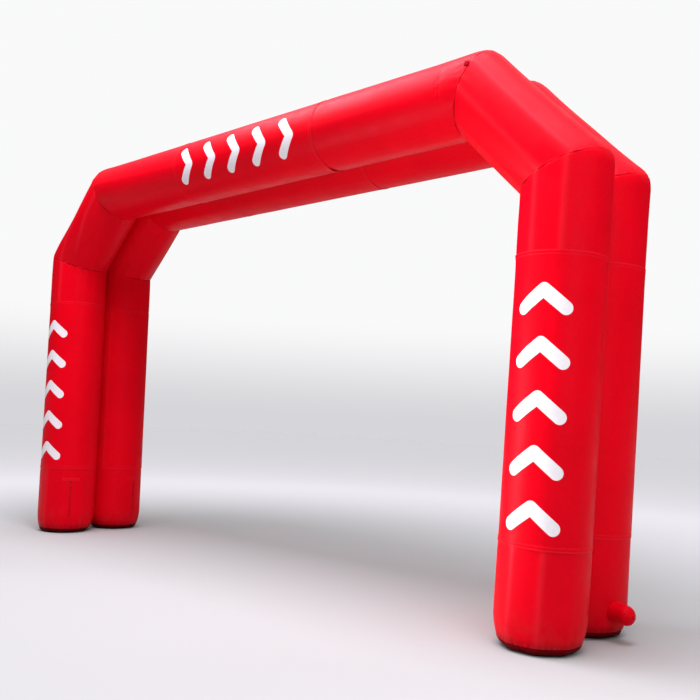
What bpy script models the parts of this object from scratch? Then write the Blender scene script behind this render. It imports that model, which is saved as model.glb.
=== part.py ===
"""Inflatable event arch: two parallel air tubes, joined side by side, that make a
wide gateway of two legs, two slanted shoulders and a straight beam.

Each tube is five straight lengths of coated fabric sewn together at mitred seams,
and each leg ends in a sewn-on base cap.  A printed banner is wrapped round each
leg and round the beam of each tube.  Blown up, every length is one filled solid.

Frame: metres, +Z up, X across the gateway, Y through it, the front at -Y.
Origin: on the ground, midway between the legs and between the two tubes.
"""
import math

import bmesh
import bpy
from mathutils import Matrix, Vector

# ---------------------------------------------------------------- driving sizes
TUBE_R = 0.353          # radius of one blown-up tube
TUBE_PITCH = 0.738      # distance between the two tubes' axes
FOOT_X = 3.507          # leg axis at the ground
KNEE_X = 3.650          # leg axis at the shoulder seam (the legs lean out a little)
KNEE_Z = 3.649
CORNER_X = 2.829        # shoulder axis at the beam seam
BEAM_Z = 4.499          # height of the beam's axis

SIDES = 32              # facets round a tube
JOIN_GAP = 0.0005       # between the two tubes where they press together
SEAM_GAP = 0.0005       # between two lengths at a seam
SKIN_GAP = 0.0005       # between a tube and what lies on it

BASE_H = 0.090          # height of the seam between a leg and its base cap
TAPER_RUN = 0.26        # a tube draws in over this run before a seam
MITRE_OUT = 0.955       # how far the outer corner of a mitre is pulled in
MITRE_SIDE = 0.985      # how far the flanks of a mitre are pulled in

BANNER_LEN = 2.220
BANNER_T = 0.002
BANNER_FIRST = 2        # a banner starts at this corner of the section, counted from the join

SLEEVE_R = 0.083
SLEEVE_ANGLE = -20.0    # degrees from +X, seen from above
SLEEVE_Z = 0.230

# base cap rings: height above the ground, share of the tube radius
BASE_RINGS = [
    # height, share
    (0.000, 0.830),
    (0.006, 0.882),
    (0.022, 0.928),
    (0.050, 0.966),
    (BASE_H - SEAM_GAP, 0.985),
]

# tube colour rows: name, RGB, roughness
RED = (0.72, 0.004, 0.016, 1.0)
RED_BANNER = (0.76, 0.004, 0.020, 1.0)
RED_TRIM = (0.34, 0.004, 0.012, 1.0)
BLACK_TRIM = (0.05, 0.01, 0.012, 1.0)

# ---------------------------------------------------------------- housekeeping
for old in list(bpy.data.objects):
    bpy.data.objects.remove(old, do_unlink=True)

arch = bpy.data.collections.new("inflatable_arch")
cutters = bpy.data.collections.new("cutters")
for coll in (arch, cutters):
    bpy.context.scene.collection.children.link(coll)


def material(name, rgba, rough, metal=0.0):
    mat = bpy.data.materials.new(name)
    mat.use_nodes = True
    shader = mat.node_tree.nodes["Principled BSDF"]
    shader.inputs["Base Color"].default_value = rgba
    shader.inputs["Roughness"].default_value = rough
    shader.inputs["Metallic"].default_value = metal
    mat.diffuse_color = rgba
    return mat


def own_material(obj, rgba, rough):
    obj.data.materials.append(material(obj.name + "_mat", rgba, rough))


# ---------------------------------------------------------------- tube section
def section_corner(k, outset=0.0):
    """Corner k of the tube's section, as (outward, towards the other tube).

    The section is a circle that is drawn out a little to meet the other tube,
    where it has one flat facet.  With an outset the whole outline grows by it.
    """
    def plain(i):
        a = math.radians((i + 0.5) * 360.0 / SIDES)
        reach0 = (TUBE_PITCH - JOIN_GAP) / 2.0
        a0 = math.radians(0.5 * 360.0 / SIDES)
        swell = (reach0 / (TUBE_R * math.cos(a0)) - 1.0) / math.cos(a0) ** 3
        r = TUBE_R * (1.0 + swell * max(0.0, math.cos(a)) ** 3)
        return Vector((r * math.sin(a), r * math.cos(a)))

    here = plain(k)
    if outset == 0.0:
        return here
    before, after = plain(k - 1), plain(k + 1)
    n1 = (here - before)
    n2 = (after - here)
    n1 = Vector((-n1.y, n1.x)).normalized()
    n2 = Vector((-n2.y, n2.x)).normalized()
    if n1.dot(here) < 0.0:
        n1, n2 = -n1, -n2
    mid = (n1 + n2).normalized()
    return here + mid * (outset / max(mid.dot(n1), 0.2))


# ---------------------------------------------------------------- tube lengths
def lengths(side_sign):
    """Joints of one leg and shoulder on one side: foot, knee, corner."""
    foot = Vector((side_sign * FOOT_X, 0.0, 0.0))
    knee = Vector((side_sign * KNEE_X, 0.0, KNEE_Z))
    corner = Vector((side_sign * CORNER_X, 0.0, BEAM_Z))
    return foot, knee, corner


def bisector(before, joint, after):
    """Normal of the mitre plane at a joint, pointing along the tube."""
    return ((joint - before).normalized() + (after - joint).normalized()).normalized()


class Run:
    """One straight length of tube from joint a to joint b, with an end plane each."""

    def __init__(self, a, b, normal_a, normal_b, row_sign, mitre_a=True, mitre_b=True):
        self.a, self.b = a, b
        self.axis = (b - a).normalized()
        self.length = (b - a).length
        self.normal_a, self.normal_b = normal_a, normal_b
        self.mitre_a, self.mitre_b = mitre_a, mitre_b
        self.row = row_sign                      # -1 front tube, +1 back tube
        # in the arch's plane, square to the axis, away from the gateway
        out = Vector((-self.axis.z, 0.0, self.axis.x))
        mid = (a + b) / 2.0
        hub = Vector((0.0, 0.0, 1.6))
        self.out = out if out.dot(mid - hub) > 0.0 else -out

    def place(self, corner, s, plane_point=None, normal=None):
        """A section corner at distance s, or on a slanted end plane."""
        u, v = corner
        y = self.row * (TUBE_PITCH / 2.0) - self.row * v
        base = self.a + self.out * u + self.axis * s
        base.y = y
        if normal is not None:
            gap = (base - plane_point).dot(normal) / self.axis.dot(normal)
            base = base - self.axis * gap
            base.y = y
        return base

    def ring(self, s, share=1.0, outset=0.0):
        return [self.place(section_corner(k, outset) * share, s) for k in range(SIDES)]

    def mitre_ring(self, at_b, outset=0.0):
        point, normal = (self.b, self.normal_b) if at_b else (self.a, self.normal_a)
        # half of the seam gap belongs to each length
        shift = self.axis * (SEAM_GAP / 2.0 / self.axis.dot(normal))
        point = point - shift if at_b else point + shift
        rows = []
        for k in range(SIDES):
            c = section_corner(k, outset)
            u = c.x * MITRE_OUT if c.x > 0.0 else c.x
            rows.append(self.place((u, c.y * MITRE_SIDE), 0.0, point, normal))
        return rows

    def level_ring(self, z, share=1.0, outset=0.0):
        point = Vector((0.0, 0.0, z))
        up = Vector((0.0, 0.0, 1.0))
        return [self.place(section_corner(k, outset) * share, 0.0, point, up)
                for k in range(SIDES)]


def loft(name, rings, coll=arch, closed=True):
    """Skin a row of rings, and close both ends when it is a solid."""
    bm = bmesh.new()
    loops = []
    for ring in rings:
        loops.append([bm.verts.new(p) for p in ring])
    n = len(rings[0])
    last = n if closed else n - 1
    for lower, upper in zip(loops, loops[1:]):
        for i in range(last):
            j = (i + 1) % n
            bm.faces.new((lower[i], lower[j], upper[j], upper[i]))
    if closed:
        bm.faces.new(loops[0])
        bm.faces.new(loops[-1])
    bmesh.ops.recalc_face_normals(bm, faces=bm.faces[:])
    mesh = bpy.data.meshes.new(name)
    bm.to_mesh(mesh)
    bm.free()
    mesh.shade_smooth()
    mesh.set_sharp_from_angle(angle=math.radians(30.0))
    obj = bpy.data.objects.new(name, mesh)
    coll.objects.link(obj)
    return obj


def tube_rings(run, outset=0.0):
    """Rings of one length: drawn in a little at its seams, full in between."""
    rings = []
    if run.mitre_a:
        rings += [run.mitre_ring(False, outset), run.ring(TAPER_RUN, 1.0, outset)]
    else:
        rings += [run.level_ring(BASE_H, 0.985, outset),
                  run.level_ring(BASE_H + 0.12, 0.995, outset),
                  run.level_ring(BASE_H + 0.34, 1.0, outset)]
    if run.mitre_b:
        rings += [run.ring(run.length - TAPER_RUN, 1.0, outset), run.mitre_ring(True, outset)]
    return rings


runs = {}
ROWS = [("front", -1.0), ("back", 1.0)]
SIDES_LR = [("left", -1.0), ("right", 1.0)]

for row_name, row in ROWS:
    ends = {}
    for side_name, sgn in SIDES_LR:
        foot, knee, corner = lengths(sgn)
        other = Vector((-corner.x, 0.0, corner.z))
        n_knee = bisector(foot, knee, corner)
        n_corner = bisector(knee, corner, other)
        ends[side_name] = (corner, n_corner)
        runs[f"leg_{side_name}_{row_name}"] = Run(
            foot, knee, Vector((0.0, 0.0, 1.0)), n_knee, row, mitre_a=False)
        runs[f"shoulder_{side_name}_{row_name}"] = Run(knee, corner, n_knee, n_corner, row)
    (left, n_left), (right, n_right) = ends["left"], ends["right"]
    runs[f"beam_{row_name}"] = Run(left, right, n_left, -n_right, row)

for name, run in runs.items():
    tube = loft(name, tube_rings(run))
    own_material(tube, RED, 0.38)

# ---------------------------------------------------------------- base caps
for side_name, sgn in SIDES_LR:
    for row_name, row in ROWS:
        run = runs[f"leg_{side_name}_{row_name}"]
        cap = loft(f"base_{side_name}_{row_name}",
                   [run.level_ring(h, share) for h, share in BASE_RINGS])
        own_material(cap, RED, 0.45)


# ---------------------------------------------------------------- things on the skin
def wrapped_sheet(name, run, s0, s1, first, last, thickness, gap=SKIN_GAP):
    """A thin sheet that follows the section's corners first..last from s0 to s1."""
    lower = [run.place(section_corner(k, gap), s0) for k in range(first, last + 1)]
    upper = [run.place(section_corner(k, gap), s1) for k in range(first, last + 1)]
    sheet = loft(name, [lower, upper], closed=False)
    # the skin's outer side is the one away from the tube's axis
    mesh = sheet.data
    probe = mesh.polygons[0]
    centre = run.a + run.axis * ((s0 + s1) / 2.0)
    centre.y = run.row * TUBE_PITCH / 2.0
    if probe.normal.dot(Vector(probe.center) - centre) < 0.0:
        mesh.flip_normals()
    solid = sheet.modifiers.new("thickness", "SOLIDIFY")
    solid.thickness = thickness
    solid.offset = 1.0
    solid.use_even_offset = True
    return sheet


# banner rows: tube length, middle of the banner along it
BANNERS = [
    # name, length of tube, middle
    ("banner_leg_right_front", "leg_right_front", 1.880),
    ("banner_leg_right_back", "leg_right_back", 1.920),
    ("banner_leg_left_front", "leg_left_front", 1.940),
    ("banner_leg_left_back", "leg_left_back", 1.930),
    ("banner_beam_front", "beam_front", CORNER_X),
    ("banner_beam_back", "beam_back", CORNER_X),
]
for name, base, middle in BANNERS:
    run = runs[base]
    sheet = wrapped_sheet(name, run, middle - BANNER_LEN / 2.0, middle + BANNER_LEN / 2.0,
                          BANNER_FIRST, SIDES - 1 - BANNER_FIRST, BANNER_T)
    own_material(sheet, RED_BANNER, 0.42)

# deflation zips on the left legs' inner side, each with a storm flap across its top.
# zip rows: leg, facet that it lies on (counted from the join), foot and head of the zip
ZIP_W = 0.034
FLAP_H = 0.030
ZIPS = [
    # row name, facet, z foot, z head
    ("front", 22, 0.205, 0.674),
    ("back", 23, 0.262, 0.660),
]
for row_name, facet, z0, z1 in ZIPS:
    run = runs[f"leg_left_{row_name}"]
    a = section_corner(facet - 1, SKIN_GAP)
    b = section_corner(facet, SKIN_GAP)
    mid = (a + b) / 2.0
    step = (b - a).normalized() * (ZIP_W / 2.0)
    strip = loft(f"zip_{row_name}",
                 [[run.place(mid - step, z0), run.place(mid + step, z0)],
                  [run.place(mid - step, z1), run.place(mid + step, z1)]], closed=False)
    centre = run.a + run.axis * z0
    centre.y = run.row * TUBE_PITCH / 2.0
    face = strip.data.polygons[0]
    if face.normal.dot(Vector(face.center) - centre) < 0.0:
        strip.data.flip_normals()
    solid = strip.modifiers.new("thickness", "SOLIDIFY")
    solid.thickness = 0.002
    solid.offset = 1.0
    own_material(strip, RED_TRIM, 0.5)
    flap = wrapped_sheet(f"flap_{row_name}", run, z1 + 0.001, z1 + 0.001 + FLAP_H,
                         facet - 2, facet + 1, 0.002)
    own_material(flap, RED_BANNER, 0.45)

# ---------------------------------------------------------------- inflation sleeve
# A short sleeve of the same fabric on the right back leg, closed at its end.
# Its profile is turned about the sleeve's axis; the leg, grown by the gap, trims its root.
SLEEVE_PROFILE = [
    # along the axis, radius
    (0.300, 0.000),
    (0.300, 0.092),
    (0.372, 0.087),
    (0.420, SLEEVE_R),
    (0.468, 0.084),
    (0.502, 0.077),
    (0.524, 0.062),
    (0.538, 0.040),
    (0.545, 0.015),
    (0.545, 0.000),
]
leg_back = runs["leg_right_back"]
root = leg_back.a + leg_back.axis * (SLEEVE_Z / leg_back.axis.z)
root.y = TUBE_PITCH / 2.0
turn = math.radians(SLEEVE_ANGLE)
ahead = Vector((math.cos(turn), math.sin(turn), 0.0))
mesh = bpy.data.meshes.new("inflation_sleeve")
bm = bmesh.new()
points = [bm.verts.new((r, 0.0, d)) for d, r in reversed(SLEEVE_PROFILE)]
for p, q in zip(points, points[1:]):
    bm.edges.new((p, q))
bm.to_mesh(mesh)
bm.free()
sleeve = bpy.data.objects.new("inflation_sleeve", mesh)
arch.objects.link(sleeve)
sleeve.location = root
sleeve.rotation_euler = ahead.to_track_quat("Z", "Y").to_euler()
screw = sleeve.modifiers.new("turned", "SCREW")
screw.axis = "Z"
screw.steps = 20
screw.render_steps = 20
screw.use_merge_vertices = True
screw.merge_threshold = 0.0001
screw.use_smooth_shade = True
trim = loft("sleeve_trim", tube_rings(leg_back, 0.0006), coll=cutters)
trim.hide_render = True
trim.display_type = "WIRE"
cut = sleeve.modifiers.new("root", "BOOLEAN")
cut.operation = "DIFFERENCE"
cut.solver = "EXACT"
cut.object = trim
own_material(sleeve, RED, 0.42)

# ---------------------------------------------------------------- tie-off tab
# A folded webbing tab, sewn in at the mitre of the front beam and the right shoulder.
TAB_W, TAB_L, TAB_T = 0.044, 0.052, 0.005
beam = runs["beam_front"]
TAB_BACK = 0.030                                   # from the seam to the tab's middle
tab_facet = 14                                     # the facet just above the front
a = section_corner(tab_facet - 1, 0.0)
b = section_corner(tab_facet, 0.0)
seam = beam.place((a + b) / 2.0, 0.0, beam.b, beam.normal_b)
spot = seam - beam.axis * TAB_BACK
along = beam.axis.copy()
round_ = (beam.place(b, 0.0) - beam.place(a, 0.0)).normalized()
off = along.cross(round_).normalized()
if off.dot(spot - Vector((spot.x, -TUBE_PITCH / 2.0, BEAM_Z))) < 0.0:
    off = -off
bpy.ops.mesh.primitive_cube_add(size=1.0)
tab = bpy.context.object
tab.name = "tie_off_tab"
tab.data.name = "tie_off_tab"
for coll in list(tab.users_collection):
    coll.objects.unlink(tab)
arch.objects.link(tab)
tab.data.transform(Matrix.Diagonal((TAB_W, TAB_L, TAB_T, 1.0)))
frame = Matrix((along, round_, off)).transposed().to_4x4()
if frame.determinant() < 0.0:
    frame = Matrix((along, -round_, off)).transposed().to_4x4()
tab.matrix_world = Matrix.Translation(spot + off * (TAB_T / 2.0 + 0.0015)) @ frame
edge = tab.modifiers.new("rounded", "BEVEL")
edge.width = 0.0015
edge.segments = 2
own_material(tab, RED_TRIM, 0.6)
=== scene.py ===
"""Looks of the inflatable event arch: two rows of air tubes in coated red fabric,
with wrap-round printed banners, base caps, an inflation sleeve, two deflation zips
with their flaps and a webbing tab.  Metres, +Z up, the front at -Y.

Every piece is mesh work on the frame's solids.  A tube length is a blown-up skin:
soft lengthwise ridges, drawn-in ends, a pinched seam with puckers, slow waves.
"""
import math

import bpy
import numpy as np
from mathutils import Matrix, Vector


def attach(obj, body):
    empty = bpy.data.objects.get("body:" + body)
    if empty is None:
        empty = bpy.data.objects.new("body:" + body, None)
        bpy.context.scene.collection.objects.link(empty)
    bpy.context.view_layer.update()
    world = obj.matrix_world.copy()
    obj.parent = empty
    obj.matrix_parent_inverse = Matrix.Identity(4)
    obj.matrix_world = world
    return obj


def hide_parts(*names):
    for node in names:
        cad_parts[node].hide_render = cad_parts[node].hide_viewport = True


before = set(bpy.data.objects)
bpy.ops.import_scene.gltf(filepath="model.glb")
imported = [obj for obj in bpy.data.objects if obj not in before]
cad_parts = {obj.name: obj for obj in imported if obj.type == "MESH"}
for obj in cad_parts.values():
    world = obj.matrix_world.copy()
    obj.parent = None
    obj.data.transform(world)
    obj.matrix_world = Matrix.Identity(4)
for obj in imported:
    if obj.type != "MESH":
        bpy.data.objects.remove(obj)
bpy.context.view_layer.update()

# ---------------------------------------------------------------- sizes of the frame
TUBE_R = 0.353
TUBE_PITCH = 0.738
FOOT_X, KNEE_X, KNEE_Z = 3.507, 3.650, 3.649
CORNER_X, BEAM_Z = 2.829, 4.499
BASE_H = 0.058          # the skin is drawn down over the base solid to this seam
BASE_TURN = 0.200       # how far up the foot starts to draw in
JOIN_GAP = 0.0004       # between the two rows where they press together
SEAM_GAP = 0.0002       # between two lengths
TAPER_RUN = 0.26
MITRE_SIDE = 0.987
CORNER_SWELL, CORNER_ROUND, CORNER_TURN = 0.038, 0.052, 0.100
BANNER_LEN, BANNER_T = 2.220, 0.0016
BANNER_HALF = math.radians(152.0)      # how far it wraps, from the front or the back line
SLEEVE_ANGLE, SLEEVE_Z = -20.0, 0.230

RIDGES = 9              # soft lengthwise ridges round a bare tube
RIDGE_BARE = {"leg": 0.52, "shoulder": 0.44, "beam": 0.13}
RIDGE_UNDER = 0.07   # how polygonal the skin is, bare and under a banner
SQUEEZE = 0.0045        # a banner draws the tube in by this much

# ---------------------------------------------------------------- small helpers
TAU = 2.0 * math.pi


def smooth(x):
    x = np.clip(x, 0.0, 1.0)
    return x * x * (3.0 - 2.0 * x)


def ripple(seed, a, s, turns, reach, count=9):
    """Smooth random waves, periodic round the tube: turns = (fewest, most) waves a turn,
    reach = shortest wavelength along it.  About -1 to 1."""
    rng = np.random.RandomState(seed)
    total = np.zeros(np.broadcast(a, s).shape)
    for _ in range(count):
        k = rng.randint(turns[0], turns[1] + 1)
        w = rng.uniform(-1.0, 1.0) * TAU / reach
        total += math.cos(rng.uniform(0.0, TAU)) * np.cos(k * a + w * s + rng.uniform(0.0, TAU))
        total += np.cos(k * a - w * s + rng.uniform(0.0, TAU)) * rng.uniform(0.4, 1.0)
    return total / (1.25 * math.sqrt(count))


def ridge_table():
    """Share of a regular polygon's dip between two ridges, its corners rounded off."""
    n = 720
    half = math.pi / RIDGES
    x = (np.arange(n) / n * 2.0 - 1.0) * half
    dip = math.cos(half) / np.cos(x) - 1.0
    kernel = np.exp(-0.5 * ((np.arange(n) - n // 2) / (n * 0.040)) ** 2)
    kernel /= kernel.sum()
    spread = np.real(np.fft.ifft(np.fft.fft(dip) * np.fft.fft(np.fft.ifftshift(kernel))))
    return spread


RIDGE_DIP = ridge_table()


def ridge_dip(psi, phase):
    """Dip at angle psi when a ridge lies at the phase angle (radians)."""
    t = ((psi - phase) * RIDGES / TAU + 0.5) % 1.0     # 0.5 on a ridge
    t = (t + 0.5) % 1.0                                # 0 on a ridge, 0.5 between two
    pos = ((t + 0.0) % 1.0) * len(RIDGE_DIP)
    i = np.floor(pos).astype(int) % len(RIDGE_DIP)
    j = (i + 1) % len(RIDGE_DIP)
    f = pos - np.floor(pos)
    return RIDGE_DIP[i] * (1.0 - f) + RIDGE_DIP[j] * f


def corner_pull(d):
    """Outer side of a mitred corner: a swell beside it, turned over into the seam."""
    near = np.clip(1.0 - d / 0.56, 0.0, 1.0)
    turn = np.clip(1.0 - d / CORNER_TURN, 0.0, 1.0)
    return 1.0 + CORNER_SWELL * near * near - CORNER_ROUND * turn * turn


def foot_lean(psi):
    """0 on the side of a foot that lifts off the ground, 1 on the side that sits full."""
    return 0.5 + 0.5 * np.cos(psi - math.radians(38.0))


def foot_draw(psi):
    """Share by which a foot is drawn in at its base seam."""
    return 0.128 - 0.056 * foot_lean(psi)


# ---------------------------------------------------------------- the tubes' lines
class Run:
    """One straight length from joint a to joint b of the front (-1) or back (+1) row.

    Angles go round from the other row: 0 faces it, 90 degrees faces away from the
    gateway, 180 is the open front (or back) line and 270 faces into the gateway.
    """

    def __init__(self, name, a, b, normal_a, normal_b, row, mitre_a=True, mitre_b=True,
                 banner=None, phase=((0.0, -12.0),), rings=(), seed=1):
        self.name = name
        self.a, self.b = np.array(a, float), np.array(b, float)
        gap = self.b - self.a
        self.length = float(np.linalg.norm(gap))
        self.axis = gap / self.length
        self.na, self.nb = np.array(normal_a, float), np.array(normal_b, float)
        self.mitre_a, self.mitre_b, self.row = mitre_a, mitre_b, row
        out = np.array((-self.axis[2], 0.0, self.axis[0]))
        mid = (self.a + self.b) / 2.0 - np.array((0.0, 0.0, 1.6))
        self.out = out if out.dot(mid) > 0.0 else -out
        self.banner = banner            # (from, to) along the length
        self.phase = phase              # (s, ridge angle from the front line), degrees
        self.rings = rings              # seams round the tube: (s, from, to) degrees from front
        self.seed = seed
    def ends(self, u, v):
        """Where the line at section offset (u, v) meets the two end planes."""
        def meet(point, normal):
            base = self.a[:, None] + self.out[:, None] * u.ravel()[None, :]
            return ((point[:, None] - base) * normal[:, None]).sum(0) / self.axis.dot(normal)
        s0 = meet(self.a if self.mitre_a else np.array((0.0, 0.0, BASE_H)), self.na)
        s1 = meet(self.b, self.nb)
        return s0.reshape(u.shape), s1.reshape(u.shape)

    def psi(self, a):
        """Angle from the open front (or back) line, positive away from the gateway."""
        return (math.pi - a + math.pi) % TAU - math.pi

    def radius(self, a, s, d0, d1):
        """Skin radius at angle a and length s; d0, d1 are the distances to the end seams."""
        psi = self.psi(a)
        reach0 = (TUBE_PITCH - JOIN_GAP) / 2.0
        swell = reach0 / TUBE_R - 1.0
        near = np.clip(np.cos(a), 0.0, 1.0)
        r = TUBE_R * (1.0 + (swell + 0.006) * near ** 3)
        # soft ridges, weaker under a banner and near the join
        phase = np.interp(s, [p[0] for p in self.phase], [math.radians(p[1]) for p in self.phase])
        under = self.under(s)
        bare = RIDGE_BARE[self.name.split("_")[0]]
        share = bare + (RIDGE_UNDER - bare) * under
        share = share * (1.0 - 0.85 * smooth((np.cos(a) - 0.45) / 0.45))
        share = share * (1.0 - 0.45 * smooth((np.abs(psi) - math.radians(44.0)) / 0.40))
        share = share * (0.85 + 0.15 * ripple(self.seed + 5, a * 0.0, s, (0, 0), 0.9, 5))
        r = r + TUBE_R * (ridge_dip(psi, phase) + 0.020) * share
        r = r - SQUEEZE * self.squeezed(s) * (1.0 - smooth(near * 2.0 - 0.6))
        # slow waves of the blown-up fabric
        r = r + 0.0009 * (1.0 - 0.5 * under) * ripple(self.seed + 11, a, s, (1, 5), 0.7)
        r = r + 0.00035 * (1.0 - 0.6 * under) * ripple(self.seed + 12, a, s, (4, 14), 0.22, 12)
        # seams: drawn in, pinched, puckered
        inward = np.clip(-np.sin(a), 0.0, 1.0)
        for i, (d, on) in enumerate(((d0, self.mitre_a), (d1, self.mitre_b))):
            r = r - 0.0013 * np.exp(-(d / 0.0060) ** 1.5)
            wave = ripple(self.seed + 21 + i, a, d, (44, 96), 0.30, 16)
            wide = ripple(self.seed + 31 + i, a, d, (12, 30), 0.50, 12)
            patch = 0.55 + 0.45 * ripple(self.seed + 41 + i, a, d * 0.0, (2, 7), 1.0, 6)
            r = r + 0.0019 * patch * wave * np.exp(-d / 0.030) * smooth(d / 0.004)
            r = r + (0.0022 + 0.0020 * inward) * wide * np.exp(-d / 0.075) * smooth(d / 0.012)
        for at, low, high in self.rings:
            gap = np.abs(s - at)
            on = smooth((psi - math.radians(low)) / 0.12) * smooth((math.radians(high) - psi) / 0.12)
            r = r - on * 0.0050 * np.exp(-(gap / 0.008) ** 1.5)
            r = r + on * 0.0016 * ripple(self.seed + 51, a, gap, (50, 90), 0.3, 12) * np.exp(-gap / 0.03)
        if self.name in LOCAL:
            r = LOCAL[self.name](self, r, a, s, psi, d0, d1)
        return r

    def ridge(self, a, s):
        """Mask for the painted highlight along the ridges of bare tube: 1 on a ridge, 0 off it, strongest within
        about 30 degrees of the open line, faint on the beam.
        """
        psi = self.psi(a)
        phase = np.interp(s, [p[0] for p in self.phase], [math.radians(p[1]) for p in self.phase])
        off = (((psi - phase) * RIDGES / TAU + 0.5) % 1.0 - 0.5) * TAU / RIDGES * TUBE_R
        bare = (1.0 - self.under(s)) * (1.0 - smooth((np.cos(a) - 0.45) / 0.45))
        side = 1.0 - 0.92 * smooth((np.abs(psi - math.radians(8.0)) - math.radians(28.0)) / 0.42)
        tone = 0.10 if self.name.startswith("beam") else 1.0
        return np.exp(-(off / 0.026) ** 2) * bare * side * tone

    def under(self, s):
        if not self.banner:
            return np.zeros(np.shape(s))
        lo, hi = self.banner
        return smooth((s - lo + 0.03) / 0.10) * smooth((hi - s + 0.03) / 0.10)

    def squeezed(self, s):
        if not self.banner:
            return np.zeros(np.shape(s))
        lo, hi = self.banner
        return smooth((s - lo + 0.10) / 0.22) * smooth((hi - s + 0.10) / 0.22)

    def skin(self, a, s, d0, d1, outset=0.0):
        """World points of the skin at angle a and length s, grown by the outset."""
        r = self.radius(a, s, d0, d1) + outset
        u, v = r * np.sin(a), r * np.cos(a)
        if self.mitre_a:
            w = np.clip(1.0 - d0 / TAPER_RUN, 0.0, 1.0) ** 2.0
            u = np.where(u > 0.0, u * corner_pull(d0), u)
            v = np.where(v < 0.0, v * (1.0 - (1.0 - MITRE_SIDE) * w), v)
        else:
            w = np.clip(1.0 - d0 / BASE_TURN, 0.0, 1.0) ** 2 * foot_draw(self.psi(a))
            u, v = u * (1.0 - w), v * (1.0 - w)
        if self.mitre_b:
            w = np.clip(1.0 - d1 / TAPER_RUN, 0.0, 1.0) ** 2.0
            u = np.where(u > 0.0, u * corner_pull(d1), u)
            v = np.where(v < 0.0, v * (1.0 - (1.0 - MITRE_SIDE) * w), v)
        v = np.minimum(v, (TUBE_PITCH - JOIN_GAP) / 2.0 + min(outset, 0.0))
        p = (self.a[None, None, :] + self.out[None, None, :] * u[..., None]
             + self.axis[None, None, :] * s[..., None])
        p[..., 1] = self.row * (TUBE_PITCH / 2.0) - self.row * v
        return p

    def grid(self, angles, lows, highs, middle):
        """s, d0, d1 for rings at fixed distances from the two seams and evenly between."""
        a = angles[None, :]
        u0 = TUBE_R * np.sin(a)
        at_seam = u0 * np.where(u0 > 0.0, float(corner_pull(0.0)), 1.0)
        s0 = self.ends(at_seam if self.mitre_a else u0, u0)[0]
        s1 = self.ends(at_seam if self.mitre_b else u0, u0)[1]
        s0, s1 = s0 + SEAM_GAP / 2.0, s1 - SEAM_GAP / 2.0
        lows, highs = np.array(lows), np.array(highs)
        inner0, inner1 = s0 + lows[-1], s1 - highs[-1]
        t = (np.arange(1, middle) / middle)[:, None]
        s = np.concatenate([s0 + lows[:, None], inner0 + (inner1 - inner0) * t,
                            s1 - highs[::-1][:, None]], 0)
        return s, s - s0, s1 - s


LOCAL = {}


def joints(sgn):
    return (np.array((sgn * FOOT_X, 0.0, 0.0)), np.array((sgn * KNEE_X, 0.0, KNEE_Z)),
            np.array((sgn * CORNER_X, 0.0, BEAM_Z)))


def unit(v):
    return v / np.linalg.norm(v)


# banner rows: tube length, middle of the banner along it
BANNERS = [
    # name, length of tube, middle, half turn motif centre (degrees from the front), motif
    ("banner_leg_right_front", "leg_right_front", 1.880, 8.0, True),
    ("banner_leg_right_back", "leg_right_back", 1.920, 0.0, False),
    ("banner_leg_left_front", "leg_left_front", 1.940, -6.0, True),
    ("banner_leg_left_back", "leg_left_back", 1.930, 0.0, False),
    ("banner_beam_front", "beam_front", CORNER_X, -6.0, True),
    ("banner_beam_back", "beam_back", CORNER_X, 0.0, False),
]
BANNER_ON = {base: (mid - BANNER_LEN / 2.0, mid + BANNER_LEN / 2.0)
             for _, base, mid, _, _ in BANNERS}

# where the ridges lie: (s, degrees from the open line), they wander a little
PHASES = {
    "leg_right_front": ((0.0, -16.0), (1.0, -13.0), (3.6, -15.0)),
    "leg_right_back": ((0.0, 4.0), (3.6, 0.0)),
    "leg_left_front": ((0.0, -11.0), (3.6, -17.0)),
    "leg_left_back": ((0.0, -8.0), (3.6, -3.0)),
    "shoulder_right_front": ((0.0, -10.0), (1.2, -7.0)),
    "shoulder_right_back": ((0.0, 6.0), (1.2, 3.0)),
    "shoulder_left_front": ((0.0, -14.0), (0.44, 8.0), (0.8, 24.0), (1.2, 30.0)),
    "shoulder_left_back": ((0.0, -5.0), (1.2, 8.0)),
    "beam_front": ((0.0, 9.0), (1.68, -2.0), (4.0, -6.0), (5.6, -2.0)),
    "beam_back": ((0.0, 3.0), (5.6, -4.0)),
}

runs = {}
seed = 100
for row_name, row in (("front", -1.0), ("back", 1.0)):
    corner_normals = {}
    for side, sgn in (("left", -1.0), ("right", 1.0)):
        foot, knee, corner = joints(sgn)
        other = corner * np.array((-1.0, 1.0, 1.0))
        n_knee = unit(unit(knee - foot) + unit(corner - knee))
        n_corner = unit(unit(corner - knee) + unit(other - corner))
        corner_normals[side] = n_corner
        seed += 100
        name = f"leg_{side}_{row_name}"
        runs[name] = Run(name, foot, knee, (0.0, 0.0, 1.0), n_knee, row, mitre_a=False,
                         banner=BANNER_ON[name], phase=PHASES[name], seed=seed)
        seed += 100
        name = f"shoulder_{side}_{row_name}"
        runs[name] = Run(name, knee, corner, n_knee, n_corner, row, phase=PHASES[name], seed=seed)
    seed += 100
    name = f"beam_{row_name}"
    left, right = joints(-1.0)[2], joints(1.0)[2]
    rings = ((CORNER_X + 2.612, -20.0, 60.0),) if row_name == "front" else ()
    runs[name] = Run(name, left, right, corner_normals["left"], -corner_normals["right"], row,
                     banner=BANNER_ON[name], phase=PHASES[name], rings=rings, seed=seed)


def around(psi, low, high, soft=0.1):
    return smooth((psi - math.radians(low)) / soft) * smooth((math.radians(high) - psi) / soft)


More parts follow.
